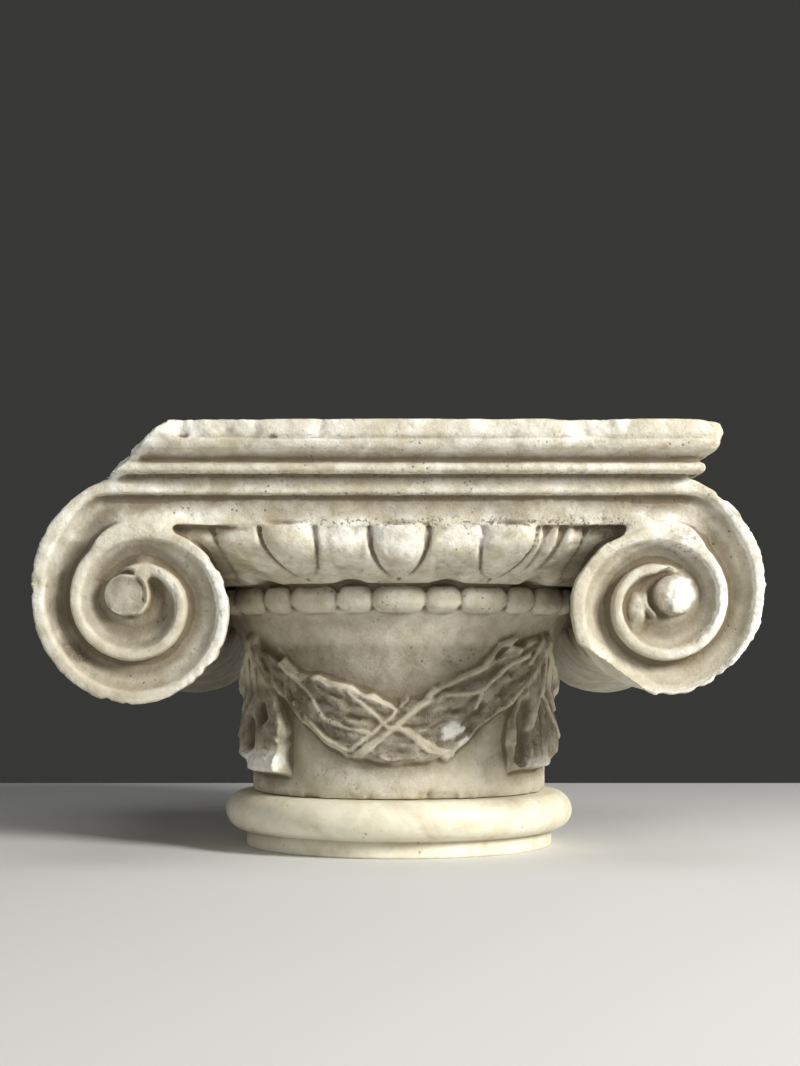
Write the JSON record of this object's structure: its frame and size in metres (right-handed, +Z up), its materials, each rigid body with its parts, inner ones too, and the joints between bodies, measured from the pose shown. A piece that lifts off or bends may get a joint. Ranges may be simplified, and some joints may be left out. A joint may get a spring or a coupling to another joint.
{
  "type": "ionic capital",
  "caption": "Weathered carved marble ionic capital with volutes, egg-and-dart, beads and laurel garlands on its neck, resting on a turned collar.",
  "frame": {"origin": "centre of the collar's flat underside, where it stands on the column or table", "axes": "+Z up along the column's axis; the front with its two volutes looks along -Y; +X to the right as the front is seen"},
  "size_m": [0.3336, 0.292, 0.203],
  "materials": {
    "capital_marble": "weathered carved marble with warm grey dirt in the hollows and sugary fresh breaks",
    "collar_marble": "smoother turned marble of a creamier, yellower tone"
  },
  "bodies": {
    "root": {"capital": "capital_marble", "collar": "collar_marble"}
  },
  "joints": []
}
